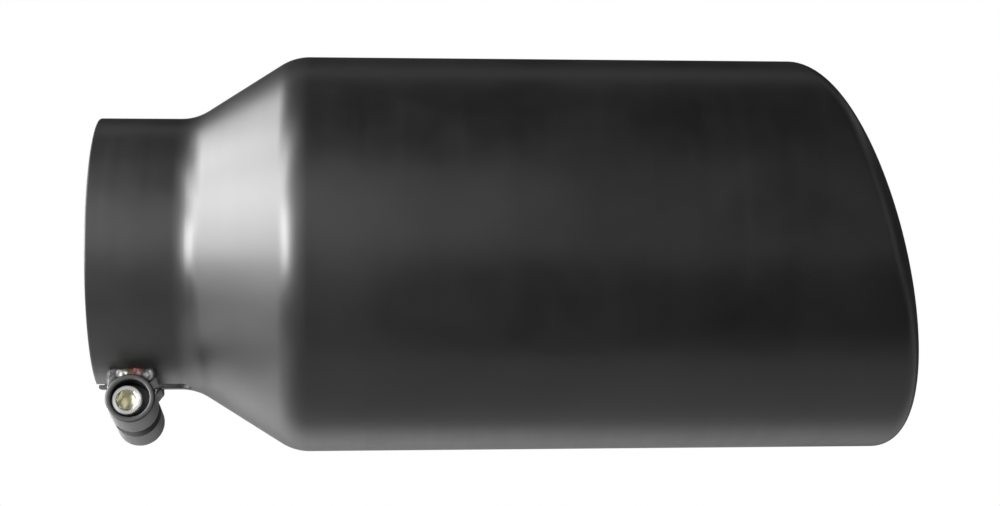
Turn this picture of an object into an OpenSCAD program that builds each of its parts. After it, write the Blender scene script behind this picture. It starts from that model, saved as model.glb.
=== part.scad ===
// Exhaust tip with a split clamp-on neck, a formed flare, a straight barrel body and a
// rolled lip on a slanted outlet. Millimetres. The origin is the centre of the inlet mouth,
// +X runs along the tube to the outlet, +Z is up, and the clamp hangs below the neck.

/* [Sheet] */
// Wall thickness of the formed sheet
sheet = 1.4; // [0.8:0.1:2.5]

/* [Neck] */
// Inside diameter of the neck, which slides over the tailpipe
inlet_bore = 101.6; // [76:0.1:127]
// Length of the straight neck
neck_length = 30.4; // [22:0.1:60]
// Width of the slit along the bottom of the neck
slit_width = 7.2; // [3:0.1:12]
// Distance from the rim to the centre of the relief hole
slit_length = 31.4; // [20:0.1:60]
// Diameter of the relief hole that ends the slit
relief_hole = 7.6; // [3:0.1:14]

/* [Flare] */
// Slope of the cone against the tube axis, in degrees
cone_angle = 32.5; // [20:0.1:60]
// Radius of the hollow bend between neck and cone, on the outside
neck_bend = 19.9; // [8:0.1:40]
// Radius of the round shoulder between cone and body, on the outside
shoulder_bend = 20.2; // [8:0.1:40]

/* [Body] */
// Outside diameter of the body
body_diameter = 152.4; // [110:0.1:180]
// Distance along the axis from the inlet rim to the middle of the outlet lip
axis_length = 291.5; // [180:0.1:450]
// Slant of the outlet against a square cut, in degrees
outlet_slant = 12.85; // [0:0.05:25]

/* [Lip] */
// Radius of the outer quarter of the roll, on the outside
lip_radius = 9; // [4:0.1:14]
// Radius of the inner quarter of the roll, on the outside
lip_return_radius = 4.6; // [3:0.1:9]
// Straight part at the end of the turned-in edge
lip_return_length = 2.5; // [1:0.1:10]

/* [Clamp lugs] */
// Distance of the lugs' axis from the inlet rim
lug_position = 14.5; // [13:0.1:40]
// Wall round the counterbore of the head lug
lug_wall = 2; // [1.5:0.1:5]
// Length over both lugs
lug_span = 40.8; // [32:0.1:60]
// Open gap between the two lugs
lug_gap = 7.6; // [2:0.1:12]
// Space between the lugs and the neck, filled by the weld
lug_lift = 0.25; // [0.1:0.05:1]
// Lean of the lugs' axis away from the neck on the threaded side, in degrees
lug_tilt = 1.7; // [0:0.1:3]
// Break of the lugs' outer edges
lug_chamfer = 0.5; // [0.1:0.1:1]

/* [Bolt] */
// Diameter of the bolt's shank and thread
bolt_diameter = 7.94; // [5:0.01:10]
// Length of the bolt under its head
bolt_length = 25.4; // [20:0.1:34]
// Diameter of the socket head
head_diameter = 11.5; // [9:0.1:16]
// Height of the socket head
head_height = 7.94; // [5:0.01:10]
// Key size across flats
key_size = 6.35; // [4:0.05:8]
// Depth of the key socket
key_depth = 4.4; // [2:0.1:6]
// How deep the head sits below the end of its lug
head_recess = 1.5; // [0:0.1:4]
// How far the bolt hole lies off the lugs' axis, towards the inlet
bolt_offset_x = 1.24; // [0:0.02:1.4]
// How far the bolt hole lies off the lugs' axis, away from the neck
bolt_offset_z = 0.4; // [0:0.02:1]
// Radial play between the shank and its hole
shank_play = 0.25; // [0.05:0.01:0.5]
// Radial play between the head and the counterbore where the two come closest
head_play = 0.05; // [0.02:0.01:1]
// Radial play of the thread in the threaded lug
thread_play = 0; // [0:0.01:0.1]

/* [Welds] */
// Reach of the weld beside a lug, measured along the neck
weld_leg = 0.4; // [0.1:0.1:3]
// How far the weld reaches down the side of a lug
weld_drop = 6.2; // [4:0.1:8]
// How far the weld stops short of the end of a lug
weld_end = 2.6; // [1:0.1:4]

/* [Hidden] */
$fn = 0;
$fa = 4;
$fs = 0.8;
cut = 0.003;
lip_inset = 0.05;
lip_steps = 7;
lip_segments = 90;
neck_r = inlet_bore / 2 + sheet;
body_r = body_diameter / 2;
slant = tan(outlet_slant);
cone_run = (body_r - neck_r) / tan(cone_angle);
bend_run = neck_bend * tan(cone_angle / 2);
cone_start = neck_length + bend_run;
cone_end = cone_start + cone_run;
shoulder_run = shoulder_bend * tan(cone_angle / 2);
body_start = cone_end + shoulder_run;
roll_start = axis_length - lip_radius;
bolt_offset = sqrt(bolt_offset_x * bolt_offset_x + bolt_offset_z * bolt_offset_z);
shank_hole = bolt_diameter + 2 * shank_play;
counterbore = head_diameter + 2 * (bolt_offset + head_play);
lug_diameter = counterbore + 2 * lug_wall;
lug_r = lug_diameter / 2;
lug_z = -(neck_r + lug_r + lug_lift);
bolt_x = lug_position - bolt_offset_x;
bolt_z = lug_z - bolt_offset_z;
lug_length = (lug_span - lug_gap) / 2;
seat_y = -lug_span / 2 + head_recess + head_height;
reach = body_diameter;
slit_cut = 4 * sheet;
black = [0.12, 0.12, 0.125];
steel = [0.72, 0.72, 0.7];
bead = [0.45, 0.44, 0.43];
// Which piece to build

// Turns a part drawn up the Z axis so that it lies along +X
module along_x() {
  rotate([0, 90, 0]) children();
}

// Turns a part drawn up the Z axis so that it lies along +Y
module along_y() {
  rotate([-90, 0, 0]) children();
}

// Half section under the neck, cone and body, as radius across and length up
module half_section(inset, low, high) {
  nr = neck_r - inset;
  br = body_r - inset;
  // The inset surface keeps its sheet thickness on the cone too
  step = inset * tan(cone_angle / 2);
  xc = cone_start + step;
  xe = cone_end + step;
  nb = neck_bend + inset;
  sb = shoulder_bend - inset;
  tn = nb * tan(cone_angle / 2);
  ts = sb * tan(cone_angle / 2);
  dx = cos(cone_angle);
  dr = sin(cone_angle);
  union() {
    difference() {
      polygon([[0, low], [nr, low], [nr, xc], [br, xe], [br, high], [0, high]]);
      // Rounds the shoulder
      difference() {
        polygon([
          [br - ts * dr - 2 * dx, xe - ts * dx + 2 * dr],
          [br - ts * dr + 3 * dx, xe - ts * dx - 3 * dr],
          [br + 6, xe - 3],
          [br + 6, xe + ts],
          [br - 2, xe + ts]
        ]);
        translate([br - sb + cut, xe + ts]) circle(r = sb);
      }
    }
    // Fills the hollow bend
    difference() {
      polygon([
        [nr - 2, xc - tn],
        [nr, xc - tn],
        [nr + tn * dr, xc + tn * dx],
        [nr + tn * dr - 2 * dx, xc + tn * dx + 2 * dr]
      ]);
      translate([nr + nb - cut, xc - tn]) circle(r = nb);
    }
  }
}

// Neck, cone and body as one turned wall, up to a square end
module wall(high) {
  along_x() rotate_extrude() difference() {
    half_section(0, 0, high);
    half_section(sheet, -1, high + 1);
  }
}

// Arc of the lip's section, as radius across and length up from the start of the roll
function lip_arc(r, up, from, to, steps) = [
  for (i = [0 : steps]) let (a = from + (to - from) * i / steps)
    [body_r - lip_radius + r * cos(a), up + r * sin(a)]
];

// Closed section of the rolled lip. Its first stretch lies inside the body's wall, which it
// leaves at the slanted edge.
lip_back = lip_radius - lip_return_radius;
lip_out = body_r - lip_radius - lip_return_radius;
lip_section = concat(
  [[body_r - lip_inset, -1.2]],
  lip_arc(lip_radius - lip_inset, 0, 0, 90, lip_steps),
  lip_arc(lip_return_radius - lip_inset, lip_back, 108, 180, lip_steps - 3),
  [[lip_out + lip_inset, lip_back - lip_return_length]],
  [[lip_out + sheet - lip_inset, lip_back - lip_return_length]],
  lip_arc(lip_return_radius - sheet + lip_inset, lip_back, 180, 108, lip_steps - 4),
  lip_arc(lip_radius - sheet + 2 * lip_inset, 0, 90, 0, lip_steps),
  [[body_r - sheet + 2 * lip_inset, -1.2]]
);

// The rolled lip, slanted with the outlet: each point is shifted along the tube by its height
module slanted_lip() {
  n = len(lip_section);
  m = lip_segments;
  polyhedron(
    points = [
      for (i = [0 : m - 1]) let (t = 360 * i / m) for (p = lip_section)
        [roll_start + p[1] - slant * p[0] * sin(t), p[0] * cos(t), p[0] * sin(t)]
    ],
    faces = [
      for (i = [0 : m - 1]) let (k = (i + 1) % m) for (j = [0 : n - 1]) let (q = (j + 1) % n)
        each [[i * n + j, k * n + q, k * n + j], [i * n + j, i * n + q, k * n + q]]
    ]
  );
}

// One formed piece of sheet: split neck, cone, body and rolled lip
module tip_shell() {
  color(black) difference() {
    union() {
      difference() {
        wall(roll_start + body_r * slant + 2 * lip_radius);
        translate([roll_start, 0, 0]) rotate([0, -outlet_slant, 0])
          translate([0, -reach, -reach]) cube([reach, 2 * reach, 2 * reach]);
      }
      slanted_lip();
    }
    // The slit and its relief hole
    translate([-sheet, -slit_width / 2, -neck_r - slit_cut])
      cube([slit_length + sheet, slit_width, 2 * slit_cut]);
    translate([slit_length, 0, -neck_r - slit_cut]) cylinder(h = 2 * slit_cut, d = relief_hole);
  }
}

// Leans what belongs to the clamp about the bottom of the neck
module leaned() {
  translate([0, 0, -neck_r]) rotate([-lug_tilt, 0, 0]) translate([0, 0, neck_r]) children();
}

// The lug that takes the bolt head, with a counterbore and an off-centre clearance hole
module head_lug() {
  color(black) leaned() difference() {
    translate([lug_position, -lug_span / 2, lug_z]) along_y() {
      translate([0, 0, lug_chamfer]) cylinder(h = lug_length - lug_chamfer, r = lug_r);
      cylinder(h = lug_chamfer, r1 = lug_r - lug_chamfer, r2 = lug_r);
    }
    translate([bolt_x, -lug_span / 2 - 1, bolt_z]) along_y()
      cylinder(h = lug_length + 2, d = shank_hole);
    translate([lug_position, -lug_span / 2 - 1, lug_z]) along_y()
      cylinder(h = head_recess + head_height + 1, d = counterbore);
  }
}

// The lug with the thread
module thread_lug() {
  color(black) leaned() difference() {
    translate([lug_position, lug_gap / 2, lug_z]) along_y() {
      cylinder(h = lug_length - lug_chamfer, r = lug_r);
      translate([0, 0, lug_length - lug_chamfer])
        cylinder(h = lug_chamfer, r1 = lug_r, r2 = lug_r - lug_chamfer);
    }
    translate([bolt_x, lug_gap / 2 - 1, bolt_z]) along_y()
      cylinder(h = lug_length + 2, r = bolt_diameter / 2 + thread_play);
  }
}

// Socket head bolt that draws the two lugs together
module clamp_bolt() {
  head_edge = 0.6;
  point_edge = 0.8;
  corner_r = key_size / sqrt(3);
  color(steel) leaned() translate([bolt_x, seat_y, bolt_z]) along_y() difference() {
    union() {
      cylinder(h = bolt_length - point_edge, d = bolt_diameter);
      translate([0, 0, bolt_length - point_edge])
        cylinder(h = point_edge, r1 = bolt_diameter / 2, r2 = bolt_diameter / 2 - point_edge);
      translate([0, 0, -head_height + head_edge])
        cylinder(h = head_height - head_edge, d = head_diameter);
      translate([0, 0, -head_height])
        cylinder(h = head_edge, r1 = head_diameter / 2 - head_edge, r2 = head_diameter / 2);
    }
    // The key socket, its drilled bottom and its broken edge
    translate([0, 0, -head_height - 1]) cylinder(h = key_depth + 1, r = corner_r, $fn = 6);
    translate([0, 0, -head_height + key_depth - 0.01])
      cylinder(h = key_size * 0.28, r1 = key_size / 2, r2 = 0.4);
    translate([0, 0, -head_height - 0.01]) cylinder(h = 0.5, r1 = corner_r + 0.2, r2 = corner_r - 0.3);
  }
}

// Weld metal between a lug and the neck, laid down both sides and round the outer end
module lug_weld(lean) {
  half = lug_r + weld_leg;
  top = -neck_r + 9;
  toe = -neck_r - 0.4;
  side = lug_z + lug_r;
  y_in = slit_width / 2 + 0.4;
  y_out = lug_span / 2;
  difference() {
    intersection() {
      // Side slopes
      translate([lug_position, lug_span, 0]) rotate([90, 0, 0])
        linear_extrude(height = 2 * lug_span) polygon([
          [-half, top],
          [-half, toe],
          [-lug_r * 0.94, side - weld_drop + 1.8],
          [-lug_r + 1.6, side - weld_drop],
          [lug_r - 3.4, side - 4],
          [lug_r - 2.2, toe - 1.9],
          [lug_r - 0.1, toe],
          [lug_r - 0.1, top]
        ]);
      // End slope
      translate([lug_position - lug_span, 0, 0]) rotate([90, 0, 90])
        linear_extrude(height = 2 * lug_span) polygon([
          [y_in, top],
          [y_in, -neck_r - 30],
          [y_out - weld_end - 1.8, -neck_r - 30],
          [y_out - weld_end - 0.9, side - weld_drop + 1],
          [y_out - weld_end - 0.4, side - 1.6],
          [y_out - weld_end, side + 1.4],
          [y_out - weld_end, top]
        ]);
      // Rounded plan
      union() {
        translate([lug_position - half, y_in, -neck_r - 30]) cube([2 * half, y_out - half - y_in + 2.5, 60]);
        translate([lug_position, y_out - half + 2.5, -neck_r - 30]) cylinder(h = 60, r = half);
      }
    }
    translate([-neck_r, 0, 0]) along_x() cylinder(h = 4 * neck_r, r = neck_r, $fa = 1.5);
    translate([0, 0, -neck_r]) rotate([lean, 0, 0]) translate([lug_position, -1, lug_z + neck_r])
      along_y() cylinder(h = y_out + 1, r = lug_r, $fa = 3);
    // Open root under the middle of the lug, where no weld metal flows
    translate([lug_position - 6.4, -1, -neck_r - 8]) cube([12.8, y_out - 5.4, 12]);
  }
}

// Weld of the head lug
module head_lug_weld() {
  color(bead) mirror([0, 1, 0]) lug_weld(lug_tilt);
}

// Weld of the threaded lug
module thread_lug_weld() {
  color(bead) lug_weld(-lug_tilt);
}

tip_shell();
head_lug();
thread_lug();
clamp_bolt();
head_lug_weld();
thread_lug_weld();
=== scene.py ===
import math

import bmesh
import bpy
import numpy as np
from mathutils import Matrix, Vector, noise


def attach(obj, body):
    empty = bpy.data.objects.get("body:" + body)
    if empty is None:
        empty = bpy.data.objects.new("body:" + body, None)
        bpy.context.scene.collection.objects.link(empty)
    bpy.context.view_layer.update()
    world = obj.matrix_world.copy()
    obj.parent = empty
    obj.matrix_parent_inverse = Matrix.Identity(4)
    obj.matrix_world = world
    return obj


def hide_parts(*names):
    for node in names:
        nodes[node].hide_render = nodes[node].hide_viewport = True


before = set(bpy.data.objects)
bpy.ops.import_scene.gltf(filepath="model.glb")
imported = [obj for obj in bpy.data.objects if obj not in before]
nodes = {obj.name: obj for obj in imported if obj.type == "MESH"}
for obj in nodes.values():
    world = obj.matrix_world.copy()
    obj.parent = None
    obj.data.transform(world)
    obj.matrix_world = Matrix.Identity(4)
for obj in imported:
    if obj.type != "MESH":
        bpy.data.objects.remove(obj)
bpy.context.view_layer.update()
scene = bpy.context.scene

MM = 0.001

# Sizes in millimetres, as in the part's source
SHEET = 1.4
NECK_R = 52.2
BODY_R = 76.2
NECK_LENGTH = 30.4
NECK_BEND = 19.9
SHOULDER_BEND = 20.2
CONE = math.radians(32.5)
LIP_R = 9.0
LIP_RETURN = 4.6
SLANT = math.tan(math.radians(12.85))
ROLL_START = 282.5
SLIT_HALF = 3.6
SLIT_LENGTH = 31.4
HOLE_R = 3.8
LUG_R = 9.1
LUG_IN = 3.8
LUG_OUT = 20.4
BORE_R = 7.105
SEAT_Y = -10.96
LEAN = math.radians(-1.7)
HEAD_HEIGHT = 7.94
BOLT_LENGTH = 25.4
KEY_WIDTH = 6.35

# Axes of the lugs and of the bolt, as (x, z)
LUG = (14.5, -61.55)
BOLT = (13.26, -61.95)

# Places along the tube, worked out from the sizes above
CONE_START = NECK_LENGTH + NECK_BEND * math.tan(CONE / 2)
CONE_END = CONE_START + (BODY_R - NECK_R) / math.tan(CONE)
BODY_START = CONE_END + SHOULDER_BEND * math.tan(CONE / 2)
NECK_BEND_END = NECK_LENGTH + NECK_BEND * math.sin(CONE)
SHOULDER_START = BODY_START - SHOULDER_BEND * math.sin(CONE)

# Shell details that only the scene has: edge breaks, and how far the lip stays inside its real radius
SHELL_SEGMENTS = 288
EDGE = 0.18
LIP_INSET = 0.05
MERGE_DISTANCE = 0.0005

# Lugs and bolt: edges as steps of (in from the side, in from the end), then thread and knurling
LATHE_SEGMENTS = 120
BOLT_SEGMENTS = 192
OUTER_EDGE = ((0.55, 0.0), (0.36, 0.05), (0.1, 0.3), (0.0, 0.6), (0.0, 1.2))
INNER_EDGE = ((0.3, 0.0), (0.08, 0.1), (0.0, 0.35))
CLEAR_R = 4.22
PITCH = 1.411
THREAD_FLAT = 0.12
HEAD_R = 5.72
HEAD_EDGE = 0.62
KNURL_R = 5.74
KNURL_DEPTH = 0.1
KNURL_TEETH = 48
SOCKET_SLOT = 1

# Weld beads
BEAD_VOXEL = 0.32
BEAD_SMOOTHING = 14
BEAD_TOE = 0.45
NECK_SINK = 0.3
LUG_SINK = 0.35
LUMP_HEIGHT = 0.34
FINE_LUMP_HEIGHT = 0.12
RIPPLE_HEIGHT = 0.06
RIPPLES_ROUND = 26

SHARP_ANGLE = 40


# Mesh tools
def finish_mesh(name, verts, faces, slots, merge=0.0):
    """A mesh object from points in millimetres, turned outwards and shaded smooth.

    Points nearer to each other than merge become one.
    """
    me = bpy.data.meshes.new(name)
    me.from_pydata([tuple(v) for v in np.asarray(verts, float) * MM], [], faces)
    me.polygons.foreach_set("material_index", np.asarray(slots, np.int32))
    bm = bmesh.new()
    bm.from_mesh(me)
    if merge:
        bmesh.ops.remove_doubles(bm, verts=bm.verts, dist=merge * MM)
    bmesh.ops.recalc_face_normals(bm, faces=bm.faces)
    bm.to_mesh(me)
    bm.free()
    me.validate()
    me.polygons.foreach_set("use_smooth", [True] * len(me.polygons))
    ob = bpy.data.objects.new(name, me)
    scene.collection.objects.link(ob)
    return ob


def band(a, b, n, closed):
    """Quads between row a and row b of n points each, by the index of their first points."""
    last = n if closed else n - 1
    return [(a + i, a + (i + 1) % n, b + (i + 1) % n, b + i) for i in range(last)]


def arc(centre, height, radius, start, end, steps, first=1):
    """Points of an arc, from one angle in degrees to another. Its radius may be a function of the angle."""
    points = []
    for k in range(first, steps + 1):
        a = math.radians(start + (end - start) * k / steps)
        r = radius(a) if callable(radius) else radius
        points.append((centre + r * math.cos(a), height + r * math.sin(a)))
    return points


def sharp_by_angle(ob, degrees):
    """Keeps true corners crisp under smooth shading."""
    ob.data.set_sharp_from_angle(angle=math.radians(degrees))
    mod = ob.modifiers.new("weighted", "WEIGHTED_NORMAL")
    mod.keep_sharp = True
    mod.weight = 60


def lean(p):
    """Leans clamp points about the bottom of the neck, as the source does."""
    p = np.array(p, float)
    y = p[..., 1].copy()
    z = p[..., 2] + NECK_R
    p[..., 1] = y * math.cos(LEAN) - z * math.sin(LEAN)
    p[..., 2] = y * math.sin(LEAN) + z * math.cos(LEAN) - NECK_R
    return p


# Shell
def wall_radius(x, inset):
    """Radius of the outer face, or of the face one inset further in, at a place along the tube."""
    bend = NECK_BEND + inset
    shoulder = SHOULDER_BEND - inset
    cone_from = NECK_LENGTH + bend * math.sin(CONE)
    cone_to = BODY_START - shoulder * math.sin(CONE)
    if x <= NECK_LENGTH:
        return NECK_R - inset
    if x <= cone_from:
        return NECK_R + NECK_BEND - math.sqrt(bend * bend - (x - NECK_LENGTH) ** 2)
    if x < cone_to:
        return NECK_R + NECK_BEND - bend * math.cos(CONE) + (x - cone_from) * math.tan(CONE)
    if x < BODY_START:
        return BODY_R - SHOULDER_BEND + math.sqrt(shoulder * shoulder - (BODY_START - x) ** 2)
    return BODY_R - inset


def lip_rows():
    """Section of the rolled lip as (radius, height above the start of the roll), outside to inside."""
    centre = BODY_R - LIP_R
    back = LIP_R - LIP_RETURN
    rows = arc(centre, 0, lambda a: LIP_R - LIP_INSET + LIP_INSET * max(0.0, math.cos(2 * a)), 0, 90, 14)
    rows += arc(centre, back, LIP_RETURN - LIP_INSET, 90, 180, 10)
    # The returned edge, rounded on both sides, as (in from the face, height)
    rounding = [(0.0, 3.2), (0.02, 2.25), (0.15, 1.98), (0.4, 1.9)]
    face = centre - LIP_RETURN + LIP_INSET
    width = SHEET - 2 * LIP_INSET
    rows += [(face + off, up) for off, up in rounding]
    rows += [(face + width - off, up) for off, up in reversed(rounding)]
    rows += arc(centre, back, LIP_RETURN - SHEET + LIP_INSET, 180, 90, 8, first=0)
    rows += arc(centre, 0, lambda a: LIP_R - SHEET + LIP_INSET * math.sin(a) ** 2, 90, 0, 12)
    return rows


def ring(x, r, half_gap=0.0, slant=0.0):
    """Points round the axis, from one side of the slit or of the bottom line to the other."""
    gap = math.asin(half_gap / r)
    t = -math.pi / 2 + gap + np.linspace(0, 1, SHELL_SEGMENTS + 1) * (2 * math.pi - 2 * gap)
    z = r * np.sin(t)
    return np.stack([x - slant * z, r * np.cos(t), z], 1)


def slit_stations():
    """Places along the slit, as (x, rounding of the rim, half gap, x on the wall, half gap on the wall).

    The wall is the cut one. The first x and half gap are on the faces, which end an edge break before it.
    """
    rim = [(0.0, 0.42), (0.1, 0.12)]
    rim += [(x, 0.0) for x in (0.4, 0.8, 2, 5, 10, 15, 20, 25)]
    face_gap = SLIT_HALF + EDGE
    face_r = HOLE_R + EDGE
    stations = [(x, drop, face_gap, x, SLIT_HALF) for x, drop in rim]
    start = -math.acos(SLIT_HALF / HOLE_R)
    steps = 15
    for k in range(steps + 1):
        a = start + (math.pi / 2 - start) * k / steps
        gap = face_r * math.cos(a)
        if a < 0:
            gap = max(gap, face_gap)
        face_x = SLIT_LENGTH + face_r * math.sin(a)
        wall_x = SLIT_LENGTH + HOLE_R * math.sin(a)
        stations.append((face_x, 0.0, gap, wall_x, HOLE_R * math.cos(a)))
    return stations


def wall_rows(stations):
    """Rings of the outer and of the inner face, from the inlet to the start of the roll."""
    outer, inner = [], []
    for x, drop, gap, _, _ in stations:
        outer.append(ring(x, wall_radius(x, 0) - drop, gap))
        inner.append(ring(x, wall_radius(x, SHEET) + drop, gap))
    slit_end = stations[-1][0]
    places = [slit_end + step for step in (0.15, 0.6, 1.6)]
    places += list(np.linspace(slit_end + 2.6, NECK_BEND_END, 6))
    places += list(np.linspace(NECK_BEND_END, SHOULDER_START, 8))[1:]
    places += list(np.linspace(SHOULDER_START, BODY_START, 14))[1:]
    for x in places:
        outer.append(ring(x, wall_radius(x, 0)))
        inner.append(ring(x, wall_radius(x, SHEET)))
    # Along the body the rings turn from square to slanted
    for share in (0.01, 0.04, 0.1, 0.2, 0.3, 0.4, 0.5, 0.6, 0.7, 0.8, 0.9, 0.96, 0.99, 1.0):
        for r, rows in ((BODY_R, outer), (BODY_R - SHEET, inner)):
            row = ring(0, r)
            row[:, 0] = BODY_START + share * (ROLL_START - SLANT * row[:, 2] - BODY_START)
            rows.append(row)
    return outer, inner


def build_shell():
    """The shell as one skin: outer face, lip and inner face, closed by the cut walls of the slit."""
    stations = slit_stations()
    outer, inner = wall_rows(stations)
    lip = [ring(ROLL_START + up, r, slant=SLANT) for r, up in lip_rows()]
    loop = outer + lip[:-1] + inner[::-1]
    last = len(loop) - 1
    m = SHELL_SEGMENTS + 1
    verts = np.concatenate(loop)
    faces = []
    for k in range(len(loop)):
        faces += band(k * m, (k + 1) % len(loop) * m, m, False)
    slots = [0] * len(faces)
    # Cut walls of the slit and the relief hole, with an edge break to both faces
    base = len(verts)
    walls = []
    for _, drop, _, x, gap in stations:
        for side in (1, -1):
            for r in (wall_radius(x, 0) - drop - EDGE, wall_radius(x, SHEET) + drop + EDGE):
                walls.append((x, side * gap, -math.sqrt(r * r - gap * gap)))
    for side, column in enumerate((0, SHELL_SEGMENTS)):
        first = base + 2 * side
        for k in range(len(stations) - 1):
            o0, o1 = k * m + column, (k + 1) * m + column
            i0, i1 = (last - k) * m + column, (last - 1 - k) * m + column
            w0, w1 = first + 4 * k, first + 4 * (k + 1)
            faces += [(o0, o1, w1, w0), (w0, w1, w1 + 1, w0 + 1), (w0 + 1, w1 + 1, i1, i0)]
        faces.append((column, first, first + 1, last * m + column))
    slots += [1] * (len(faces) - len(slots))
    verts = np.concatenate([verts, np.array(walls)])
    return finish_mesh("shell", verts, faces, slots, merge=MERGE_DISTANCE)


# Lugs and bolt
def at(centre, *steps):
    """Rows for lathe from steps of (radius, y) round one axis."""
    return [(*centre, r, y) for r, y in steps]


def edge_rows(end, into, edge):
    """Rows round an edge of a lug at its end y. The metal lies on the side that into points to."""
    return at(LUG, *[(LUG_R - side, end + into * deep) for side, deep in edge])


def lathe(name, rows, n=LATHE_SEGMENTS, slots=None):
    """Rows of (axis x, axis z, radius, y) joined into one skin. A radius may be a function of the angle.

    Without slots the last row joins the first, as round a bore. With one slot per row both ends are capped.
    """
    t = np.linspace(0, 2 * math.pi, n, endpoint=False)
    verts = []
    for cx, cz, r, y in rows:
        rr = r(t) if callable(r) else np.full(n, r)
        verts.append(np.stack([cx + rr * np.cos(t), np.full(n, y), cz + rr * np.sin(t)], 1))
    verts = np.concatenate(verts)
    marks = slots or [0] * len(rows)
    last = (len(rows) - 1) * n
    faces, face_slots = [], []
    for k in range(len(rows) - 1):
        faces += band(k * n, (k + 1) * n, n, True)
        face_slots += [marks[k]] * n
    if slots:
        faces += [tuple(range(n)), tuple(range(last, last + n))]
        face_slots += [marks[0], marks[-1]]
    else:
        faces += band(last, 0, n, True)
        face_slots += [0] * n
    return finish_mesh(name, lean(verts), faces, face_slots)


def thread(crest, depth, y):
    """Radius round one turn of a V thread, at a place along its axis."""
    def radius(t):
        u = np.mod(y / PITCH - t / (2 * math.pi), 1.0)
        v = np.clip((np.abs(2 * u - 1) - THREAD_FLAT) / (1 - 2 * THREAD_FLAT), 0, 1)
        return crest - depth * v
    return radius


def hexagon(grow, soft):
    """Radius round the hex socket, grown by one amount and cut back at its corners by another."""
    def radius(t):
        half = KEY_WIDTH / 2 + grow
        flat = half / np.cos(np.mod(t, math.pi / 3) - math.pi / 6)
        return np.minimum(flat, half / math.cos(math.pi / 6) - soft)
    return radius


def knurled(t):
    """Radius round the knurled side of the bolt head."""
    return KNURL_R - KNURL_DEPTH * (0.5 + 0.5 * np.cos(t * KNURL_TEETH))


def build_head_lug():
    """The near lug, with a counterbore for the bolt head and a clear hole for its shank."""
    face, inner = -LUG_OUT, -LUG_IN
    rows = at(LUG, (BORE_R + 0.28, face), (8.0, face)) + edge_rows(face, 1, OUTER_EDGE)
    rows += at(LUG, *[(LUG_R, y) for y in (-16, -12, -8, -5.5)])
    rows += edge_rows(inner, -1, INNER_EDGE)[::-1] + at(LUG, (7.0, inner))
    rows += at(BOLT, (4.6, inner), (4.42, inner), (4.25, inner - 0.2), (CLEAR_R, inner - 0.6))
    rows += at(BOLT, *[(CLEAR_R, y) for y in (-6, -8, -10.4)])
    rows += at(BOLT, (4.25, SEAT_Y + 0.15), (4.4, SEAT_Y))
    rows += at(LUG, (6.6, SEAT_Y), (6.98, SEAT_Y - 0.03), (BORE_R, SEAT_Y - 0.3))
    rows += at(LUG, *[(BORE_R, y) for y in (-14, -17, face + 0.9, face + 0.35)])
    rows += at(LUG, (BORE_R + 0.1, face + 0.1))
    return lathe("lug_near", rows)


def build_thread_lug():
    """The far lug, threaded from end to end."""
    inner, face = LUG_IN, LUG_OUT
    rows = at(BOLT, (4.25, inner)) + at(LUG, (6.5, inner)) + edge_rows(inner, 1, INNER_EDGE)
    rows += at(LUG, *[(LUG_R, y) for y in (6, 10, 14, 18)])
    rows += edge_rows(face, -1, OUTER_EDGE)[::-1] + at(LUG, (7.5, face))
    rows += at(BOLT, (4.3, face), (4.1, face - 0.1))
    y = face - 0.3
    while y > inner + 0.3:
        rows += at(BOLT, (thread(4.0, 0.62, y), y))
        y -= PITCH / 9
    rows += at(BOLT, (4.05, inner + 0.12))
    return lathe("lug_far", rows)


def shank_steps():
    """Steps of (radius, y) from the point of the bolt to the underside of its head."""
    end = SEAT_Y + BOLT_LENGTH
    steps = [(1.6, end), (2.9, end), (3.12, end - 0.06)]
    y = end - 0.25
    while y > SEAT_Y + 1.9:
        # The thread comes up to its full height over the first 0.9 mm
        fade = min(1.0, (end - y) / 0.9)
        steps.append((thread(3.17 + 0.76 * fade, 0.66 * fade, y), y))
        y -= PITCH / 10
    neck = [(3.6, 1.6), (3.6, 0.8), (3.7, 0.3), (4.0, 0.05), (4.9, 0.01), (5.55, 0.0)]
    return steps + [(r, SEAT_Y + up) for r, up in neck]


def head_steps(top):
    """Steps of (radius, y) over the head of the bolt, from its underside to the rim of its socket."""
    steps = [(5.68, SEAT_Y - 0.12)]
    steps += [(knurled, SEAT_Y - 0.3 - 6.6 * k / 12) for k in range(12)]
    steps += [(HEAD_R + 0.01, top + 1.0), (HEAD_R, top + 0.75)]
    for k in range(1, 7):
        a = math.radians(90 * k / 6)
        steps.append((HEAD_R - HEAD_EDGE * (1 - math.cos(a)), top + HEAD_EDGE * (1 - math.sin(a))))
    rim = [(4.7, 0.0), (4.15, 0.0), (3.95, 0.02), (3.72, 0.14), (hexagon(0.16, 0.12), 0.32)]
    return steps + [(r, top + deep) for r, deep in rim]


def build_bolt():
    """The socket head bolt, with its thread, its knurled head and the drilled bottom of its socket."""
    top = SEAT_Y - HEAD_HEIGHT
    outside = shank_steps() + head_steps(top)
    socket = [(hexagon(0.0, 0.06), deep) for deep in (0.6, 2.4, 4.25)]
    socket += [(hexagon(-0.12, 0.1), 4.4), (2.9, 4.44), (2.2, 4.85), (1.2, 5.4), (0.35, 5.9)]
    rows = at(BOLT, *outside, *[(r, top + deep) for r, deep in socket])
    slots = [0] * len(outside) + [SOCKET_SLOT] * len(socket)
    return lathe("bolt", rows, BOLT_SEGMENTS, slots)


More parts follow.
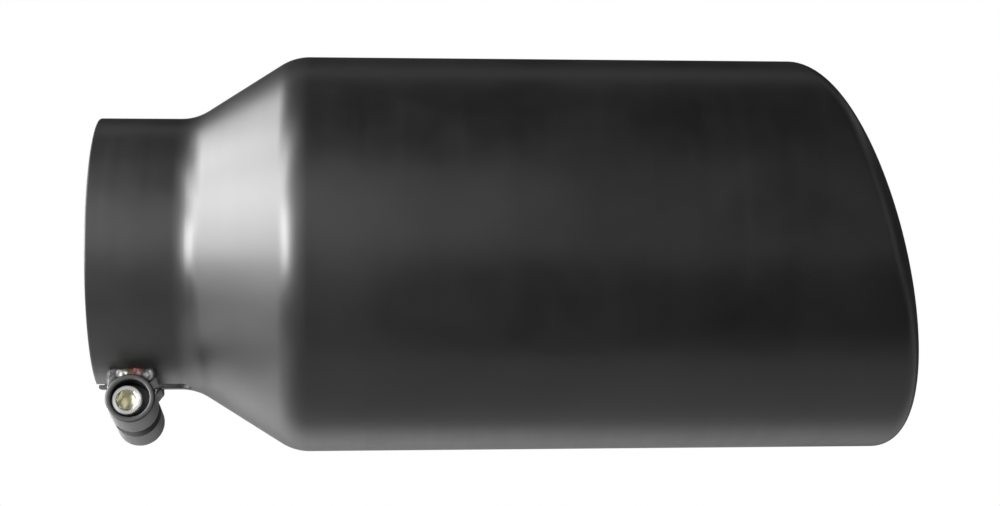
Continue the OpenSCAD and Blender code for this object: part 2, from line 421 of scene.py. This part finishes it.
# Welds
def remeshed(name, node):
    """A fine and smooth copy of the source's solid."""
    copy = bpy.data.objects.new("tmp_" + name, nodes[node].data.copy())
    scene.collection.objects.link(copy)
    mod = copy.modifiers.new("remesh", "REMESH")
    mod.mode = "VOXEL"
    mod.voxel_size = BEAD_VOXEL * MM
    mod = copy.modifiers.new("smooth", "SMOOTH")
    mod.factor = 0.5
    mod.iterations = BEAD_SMOOTHING
    bpy.context.view_layer.update()
    me = bpy.data.meshes.new_from_object(copy.evaluated_get(bpy.context.evaluated_depsgraph_get()))
    bpy.data.objects.remove(copy)
    me.name = name
    return me


def lumps(p, normals, seed):
    """Works points in millimetres into a lumpy bead, with ripples round the lug's axis."""
    shift = Vector((seed * 3.1, seed * 1.7, seed * 0.9))
    lump = np.array([noise.noise(Vector(v) * 0.42 + shift) for v in p])
    fine = np.array([noise.noise(Vector(v) * 1.6 + shift * 2) for v in p])
    around = np.arctan2(p[:, 1], p[:, 0] - LUG[0])
    wave = np.sin(around * RIPPLES_ROUND + 1.5 * p[:, 2] + 2.2 * lump)
    move = -0.10 + LUMP_HEIGHT * lump + FINE_LUMP_HEIGHT * fine + RIPPLE_HEIGHT * wave
    return p + normals * np.minimum(move, 0.25)[:, None]


def sink_toes(p):
    """Sinks the toes of a bead a little into the neck and the lug, as fused metal does."""
    r = np.hypot(p[:, 1], p[:, 2])
    on_neck = r < NECK_R + BEAD_TOE
    p[:, 1:] *= np.where(on_neck, (NECK_R - NECK_SINK) / r, 1.0)[:, None]
    # The lean is small, so the height of the lug's axis is taken at each y
    x = p[:, 0] - LUG[0]
    z = p[:, 2] - (LUG[1] - p[:, 1] * math.tan(-LEAN))
    d = np.hypot(x, z)
    on_lug = (d < LUG_R + BEAD_TOE) & ~on_neck
    pull = np.where(on_lug, (LUG_R - LUG_SINK) / np.maximum(d, 1e-6), 1.0)
    p[:, 0] = np.where(on_lug, LUG[0] + x * pull, p[:, 0])
    p[:, 2] = np.where(on_lug, p[:, 2] - z * (1 - pull), p[:, 2])
    return p


def build_weld(name, node, seed):
    """Weld metal: the source's solid, remeshed fine and worked into a lumpy bead."""
    me = remeshed(name, node)
    co = np.zeros(len(me.vertices) * 3, np.float32)
    me.vertices.foreach_get("co", co)
    p = co.reshape(-1, 3).astype(float) / MM
    normals = np.array([v.normal[:] for v in me.vertices])
    p = sink_toes(lumps(p, normals, seed))
    me.vertices.foreach_set("co", (p * MM).astype(np.float32).ravel())
    me.polygons.foreach_set("use_smooth", [True] * len(me.polygons))
    me.materials.clear()
    me.update()
    ob = bpy.data.objects.new(name, me)
    scene.collection.objects.link(ob)
    return ob


# Materials
class Tree:
    """Short hand for a material's nodes."""

    def __init__(self, name):
        self.mat = bpy.data.materials.new(name)
        self.mat.use_nodes = True
        self.nt = self.mat.node_tree
        self.nt.nodes.clear()
        out = self.nt.nodes.new("ShaderNodeOutputMaterial")
        self.bsdf = self.nt.nodes.new("ShaderNodeBsdfPrincipled")
        self.link(self.bsdf.outputs[0], out.inputs["Surface"])
        self.coord = self.nt.nodes.new("ShaderNodeTexCoord").outputs["Object"]

    def link(self, a, b):
        self.nt.links.new(a, b)

    def feed(self, value, socket):
        """Sets a socket to a number or a colour, or links it to another socket."""
        if isinstance(value, (int, float, tuple)):
            socket.default_value = value
        else:
            self.link(value, socket)

    def noise(self, scale, detail=4.0, rough=0.55, vector=None):
        t = self.nt.nodes.new("ShaderNodeTexNoise")
        t.inputs["Scale"].default_value = scale
        t.inputs["Detail"].default_value = detail
        t.inputs["Roughness"].default_value = rough
        self.link(vector or self.coord, t.inputs["Vector"])
        return t.outputs["Fac"]

    def stretch(self, x, y, z):
        m = self.nt.nodes.new("ShaderNodeMapping")
        m.inputs["Scale"].default_value = (x, y, z)
        self.link(self.coord, m.inputs["Vector"])
        return m.outputs[0]

    def ramp(self, fac, *stops):
        r = self.nt.nodes.new("ShaderNodeValToRGB")
        el = r.color_ramp.elements
        while len(el) > 1:
            el.remove(el[-1])
        el[0].position = stops[0][0]
        el[0].color = (*stops[0][1], 1)
        for pos, col in stops[1:]:
            el.new(pos).color = (*col, 1)
        self.link(fac, r.inputs[0])
        return r.outputs[0]

    def span(self, fac, lo, hi, a=0.0, b=1.0):
        """A value that goes from lo to hi while fac goes from a to b."""
        m = self.nt.nodes.new("ShaderNodeMapRange")
        m.clamp = True
        for i, v in ((1, a), (2, b), (3, lo), (4, hi)):
            m.inputs[i].default_value = v
        self.link(fac, m.inputs[0])
        return m.outputs[0]

    def math(self, op, a, b=0.0):
        m = self.nt.nodes.new("ShaderNodeMath")
        m.operation = op
        self.feed(a, m.inputs[0])
        self.feed(b, m.inputs[1])
        return m.outputs[0]

    def swing(self, value, amount):
        """Noise as a distance either side of zero."""
        return self.math("MULTIPLY", self.math("SUBTRACT", value, 0.5), amount)

    def mix(self, fac, a, b):
        m = self.nt.nodes.new("ShaderNodeMix")
        m.data_type = "RGBA"
        self.link(fac, m.inputs["Factor"])
        for name, v in (("A", a), ("B", b)):
            sock = [i for i in m.inputs if i.name == name and i.type == "RGBA"][0]
            self.feed((*v, 1) if isinstance(v, tuple) else v, sock)
        return [o for o in m.outputs if o.type == "RGBA"][0]

    def near(self, centre, inner, outer, wobble):
        """One inside the inner distance of a point, in metres, and zero outside the outer one."""
        d = self.nt.nodes.new("ShaderNodeVectorMath")
        d.operation = "DISTANCE"
        self.link(self.coord, d.inputs[0])
        d.inputs[1].default_value = centre
        return self.span(self.math("ADD", d.outputs["Value"], wobble), 1.0, 0.0, inner, outer)

    def bump(self, height, strength, distance, normal=None):
        b = self.nt.nodes.new("ShaderNodeBump")
        b.inputs["Strength"].default_value = strength
        b.inputs["Distance"].default_value = distance
        self.link(height, b.inputs["Height"])
        if normal is not None:
            self.link(normal, b.inputs["Normal"])
        return b.outputs[0]

    def set(self, **values):
        for key, v in values.items():
            self.feed(v, self.bsdf.inputs[key.replace("_", " ")])


def coat_material(name, painted_lift, rough):
    """Satin black coat over sheet: slight cloudiness, fine grain and faint round marks of the forming."""
    t = Tree(name)
    cloud = t.noise(34, 5, 0.6)
    # A painted_lift above 1 makes a lighter, lit copy of the same coat: painted light
    dark = (0.0052 * painted_lift, 0.0052 * painted_lift, 0.0055 * painted_lift)
    light = (0.0098 * painted_lift, 0.0096 * painted_lift, 0.0096 * painted_lift)
    base = t.ramp(cloud, (0.30, dark), (0.72, light))
    rings = t.noise(9, 3, 0.5, t.stretch(26, 0.6, 0.6))
    wear = t.math("ADD", t.math("MULTIPLY", cloud, 0.10), t.math("MULTIPLY", rings, 0.07))
    # The wear is 0.085 at its middle, so the mean roughness stays the one asked for
    t.set(Base_Color=base, Roughness=t.math("ADD", wear, rough - 0.085), IOR=1.9)
    grain = t.bump(t.noise(2600, 2, 0.5), 0.10, 0.00004)
    t.set(Normal=t.bump(rings, 0.05, 0.0002, grain))
    return t.mat


def edge_material():
    """Sheet edge at the slit: mottled grey, lighter and more metallic than the coat around it."""
    t = Tree("cut_edge")
    mottle = t.noise(900, 4, 0.6)
    t.set(
        Base_Color=t.ramp(mottle, (0.35, (0.05, 0.05, 0.052)), (0.65, (0.13, 0.125, 0.12))),
        Roughness=t.span(mottle, 0.38, 0.55),
        Metallic=0.5,
        Normal=t.bump(mottle, 0.25, 0.00005),
    )
    return t.mat


def steel_material():
    """Bright turned steel of the bolt, with its highlights drawn out round the axis."""
    t = Tree("bolt_steel")
    mottle = t.noise(500, 4, 0.55)
    t.set(
        Base_Color=t.ramp(mottle, (0.3, (0.80, 0.79, 0.77)), (0.7, (0.90, 0.89, 0.88))),
        Roughness=t.span(mottle, 0.22, 0.30),
        Metallic=1.0,
        Normal=t.bump(t.noise(2400, 2, 0.5), 0.05, 0.00003),
        Anisotropic=0.85,
        Anisotropic_Rotation=0.25,
    )
    turned = t.nt.nodes.new("ShaderNodeTangent")
    turned.direction_type = "RADIAL"
    turned.axis = "Y"
    t.set(Tangent=turned.outputs[0])
    return t.mat


def socket_material():
    """Yellowish steel inside the key socket."""
    t = Tree("socket_steel")
    mottle = t.noise(700, 4, 0.6)
    t.set(
        Base_Color=t.ramp(mottle, (0.3, (0.66, 0.64, 0.50)), (0.7, (0.86, 0.85, 0.70))),
        Roughness=t.span(mottle, 0.45, 0.60),
        Metallic=1.0,
        Normal=t.bump(mottle, 0.2, 0.00005),
    )
    return t.mat


def heat_tint_and_glints(t, base, metal, big, small):
    """Heat colours in the middle of the near bead, with two light grey spots and a greenish one beside
    them: bare metal whose brightness is partly a painted highlight of glints on the bead.
    """
    place = t.nt.nodes.new("ShaderNodeSeparateXYZ")
    t.link(t.coord, place.inputs[0])
    x, z = place.outputs[0], place.outputs[2]
    along = t.span(t.math("ABSOLUTE", t.math("SUBTRACT", x, 0.0153)), 1.0, 0.0, 0.0024, 0.0046)
    high = t.span(t.math("ADD", z, t.swing(big, 0.002)), 0.0, 1.0, -0.0523, -0.0512)
    tint = t.ramp(
        t.span(x, 0.0, 1.0, 0.0115, 0.0192),
        (0.0, (0.040, 0.036, 0.016)),
        (0.30, (0.070, 0.048, 0.020)),
        (0.42, (0.110, 0.030, 0.020)),
        (0.75, (0.130, 0.028, 0.022)),
        (1.0, (0.050, 0.020, 0.028)),
    )
    base = t.mix(t.math("MULTIPLY", along, high), base, tint)
    # Painted glints: light grey, fully metallic spots where highlights fall on the bead, partly standing
    # for bare weld metal
    for centre, inner, outer, glint_colour in (
        ((0.0101, -0.0180, -0.0512), 0.0008, 0.0016, (0.62, 0.61, 0.59)),
        ((0.0124, -0.0180, -0.0508), 0.0003, 0.0008, (0.50, 0.50, 0.46)),
        ((0.0198, -0.0178, -0.0517), 0.0005, 0.0012, (0.50, 0.58, 0.50)),
    ):
        glint_spot = t.near(centre, inner, outer, t.swing(small, 0.0012))
        base = t.mix(glint_spot, base, glint_colour)
        metal = t.math("MAXIMUM", metal, glint_spot)
    return base, metal


def weld_material(name, heat_and_glints):
    """Weld metal under the same black coat, with bare lumps and, on the near bead, heat colours and spots
    that are partly painted highlights.
    """
    t = Tree(name)
    big = t.noise(420, 5, 0.65)
    small = t.noise(1900, 3, 0.6)
    base = t.ramp(
        big,
        (0.36, (0.010, 0.010, 0.011)),
        (0.52, (0.026, 0.026, 0.026)),
        (0.70, (0.085, 0.083, 0.08)),
    )
    metal = t.math("MULTIPLY", t.span(big, 0.0, 1.0, 0.64, 0.72), 0.5)
    if heat_and_glints:
        base, metal = heat_tint_and_glints(t, base, metal, big, small)
    t.set(Base_Color=base, Metallic=metal, Roughness=t.span(big, 0.52, 0.36), IOR=1.8)
    t.set(Normal=t.bump(small, 0.30, 0.0001, t.bump(big, 0.35, 0.0003)))
    return t.mat


# Pieces
coat = coat_material("black_coat", 1.0, 0.37)
# The lugs have the same black coat, painted 2.2 times lighter to stand in for the light they catch, and
# made rougher
lug_coat_painted_lighter = coat_material("lug_coat_painted_lighter", 2.2, 0.46)
shell = build_shell()
near_lug = build_head_lug()
far_lug = build_thread_lug()
bolt = build_bolt()
near_weld = build_weld("bead_near", "head_lug_weld", 1)
far_weld = build_weld("bead_far", "thread_lug_weld", 2)
pieces = [
    (shell, "tip_shell", "black_coating", [coat, edge_material()]),
    (near_lug, "head_lug", "black_coating", [lug_coat_painted_lighter]),
    (far_lug, "thread_lug", "black_coating", [lug_coat_painted_lighter]),
    (bolt, "clamp_bolt", "bolt_steel", [steel_material(), socket_material()]),
    (near_weld, "head_lug_weld", "weld_metal", [weld_material("weld_near", True)]),
    (far_weld, "thread_lug_weld", "weld_metal", [weld_material("weld_far", False)]),
]
for ob, node, slot, mats in pieces:
    for mat in mats:
        ob.data.materials.append(mat)
    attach(ob, "root")
    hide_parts(node)
for ob in (shell, near_lug, far_lug, bolt):
    sharp_by_angle(ob, SHARP_ANGLE)

# Stage, in metres
FLOOR_Z = -0.30
CARD_LIFT = 0.01
UP = (0, 0, 1)
LAMP_AIM = (0.055, 0.0, 0.0)
FLOOR_GREY = (0.86, 0.86, 0.86, 1)
SURROUNDINGS = 0.4


def plane(name, centre, half_x, half_y, normal):
    """A flat sheet of the stage, turned to face along a direction."""
    bm = bmesh.new()
    signs = ((-1, -1), (1, -1), (1, 1), (-1, 1))
    bm.faces.new([bm.verts.new((x * half_x, y * half_y, 0)) for x, y in signs])
    me = bpy.data.meshes.new(name)
    bm.to_mesh(me)
    bm.free()
    ob = bpy.data.objects.new(name, me)
    scene.collection.objects.link(ob)
    turn = Vector(normal).to_track_quat("Z", "Y").to_matrix().to_4x4()
    ob.matrix_world = Matrix.Translation(centre) @ turn
    return ob


def card(name, centre, half_x, half_y, level, normal=None):
    """A card that only reflections see, black at level 0. It faces the axis if no normal is given."""
    ob = plane(name, centre, half_x, half_y, normal or (0, -centre[1], -centre[2]))
    mat = bpy.data.materials.new(name)
    mat.use_nodes = True
    nt = mat.node_tree
    nt.nodes.clear()
    out = nt.nodes.new("ShaderNodeOutputMaterial")
    glow = nt.nodes.new("ShaderNodeEmission")
    glow.inputs["Strength"].default_value = level
    nt.links.new(glow.outputs[0], out.inputs["Surface"])
    ob.data.materials.append(mat)
    ob.visible_camera = False
    ob.visible_shadow = False
    ob.visible_diffuse = False


def floor_card(name, x, y, half_x, half_y, level):
    """A card that lies just over the floor."""
    card(name, (x, y, FLOOR_Z + CARD_LIFT), half_x, half_y, level, UP)


def lamp(name, place, width, height, power):
    """A soft lamp aimed at the cone. The camera doesn't see it."""
    data = bpy.data.lights.new(name, "AREA")
    data.shape = "RECTANGLE"
    data.size = width
    data.size_y = height
    data.energy = power
    ob = bpy.data.objects.new(name, data)
    scene.collection.objects.link(ob)
    ob.location = place
    ob.rotation_euler = (Vector(LAMP_AIM) - Vector(place)).to_track_quat("-Z", "Y").to_euler()
    ob.visible_camera = False


floor = plane("floor", (0.15, 0.2, FLOOR_Z), 2.4, 2.0, UP)
paper = bpy.data.materials.new("floor_paper")
paper.use_nodes = True
paper.node_tree.nodes["Principled BSDF"].inputs["Base Color"].default_value = FLOOR_GREY
paper.node_tree.nodes["Principled BSDF"].inputs["Roughness"].default_value = 0.9
floor.data.materials.append(paper)

# The main light comes from the left, as in the photo: a soft sheet of lamps round the cone
lamp("left_high", (-0.64, 0.19, 0.84), 0.42, 0.42, 2.9)
lamp("left_mid", (-0.80, -0.11, 0.66), 0.42, 0.42, 4.75)
lamp("left_front", (-0.91, -0.40, 0.34), 0.42, 0.42, 4.6)
lamp("left_low", (-0.65, 0.46, -0.20), 0.42, 0.18, 9.6)
lamp("side_low", (-0.98, -0.36, -0.02), 0.42, 0.26, 2.9)
lamp("fore_low", (-0.71, -0.80, -0.10), 0.20, 0.66, 10.5)
lamp("side_fore", (-0.80, -0.66, 0.35), 0.20, 0.58, 2.2)
lamp("fore_high", (-0.68, -0.64, 0.64), 0.25, 0.50, 3.2)
lamp("near_high", (-0.42, -0.62, 0.84), 0.30, 0.50, 0.5)

# Grey cards give the neck, the body and its underside their soft tones
card("front_left", (-0.35, -1.5, 0.10), 0.55, 0.8, 0.63)
card("front_right", (0.80, -1.5, 0.10), 0.6, 0.8, 0.03)
card("right_end", (1.45, 0.0, 0.4), 0.9, 0.69, 0.065, (-1, 0, 0))
card("back_right", (1.0, 1.15, 0.45), 0.5, 0.7, 0.05, (-0.6, -1, -0.3))
floor_card("low_left", -0.2, -0.61, 0.3, 0.49, 0.25)
floor_card("under", 0.475, 0.05, 0.525, 0.17, 0.27)
floor_card("under_left", -0.325, 0.05, 0.275, 0.17, 0.85)

# Black cards keep the white surroundings and the floor out of the dark stretches of the body
card("high_front", (0.15, -0.95, 1.15), 1.2, 0.45, 0.0)
card("top_front", (0.15, -0.1, 1.4), 1.2, 0.5, 0.0)
card("top_back", (0.15, 0.95, 1.1), 1.2, 0.45, 0.0)
floor_card("low_right", 0.55, -0.61, 0.45, 0.49, 0.0)

# White surroundings, full for the camera and weaker for everything else
world = bpy.data.worlds.new("World")
scene.world = world
world.use_nodes = True
nt = world.node_tree
nt.nodes.clear()
out = nt.nodes.new("ShaderNodeOutputWorld")
mix = nt.nodes.new("ShaderNodeMixShader")
path = nt.nodes.new("ShaderNodeLightPath")
nt.links.new(path.outputs["Is Camera Ray"], mix.inputs[0])
for i, strength in ((1, SURROUNDINGS), (2, 1.0)):
    white = nt.nodes.new("ShaderNodeBackground")
    white.inputs["Color"].default_value = (1, 1, 1, 1)
    white.inputs["Strength"].default_value = strength
    nt.links.new(white.outputs[0], mix.inputs[i])
nt.links.new(mix.outputs[0], out.inputs[0])

# Camera: it stands low before the part, looks up at it and is turned a little to the right
YAW = 0.085
TILT = math.radians(16.5)
CAMERA_PLACE = (0.09207, -0.6933, -0.2049)
cam_data = bpy.data.cameras.new("camera")
cam_data.sensor_width = 36.0
cam_data.sensor_fit = "HORIZONTAL"
cam_data.lens = 66.57
cam_data.clip_start = 0.01
cam = bpy.data.objects.new("camera", cam_data)
scene.collection.objects.link(cam)
right = Vector((math.cos(YAW), -math.sin(YAW) * math.cos(TILT), -math.sin(YAW) * math.sin(TILT)))
look = Vector((math.sin(YAW), math.cos(YAW) * math.cos(TILT), math.cos(YAW) * math.sin(TILT)))
up = Vector((0, -math.sin(TILT), math.cos(TILT)))
stand = Matrix((right, up, -look)).transposed().to_4x4()
stand.translation = Vector(CAMERA_PLACE)
cam.matrix_world = stand
scene.camera = cam
scene.view_settings.view_transform = "Standard"
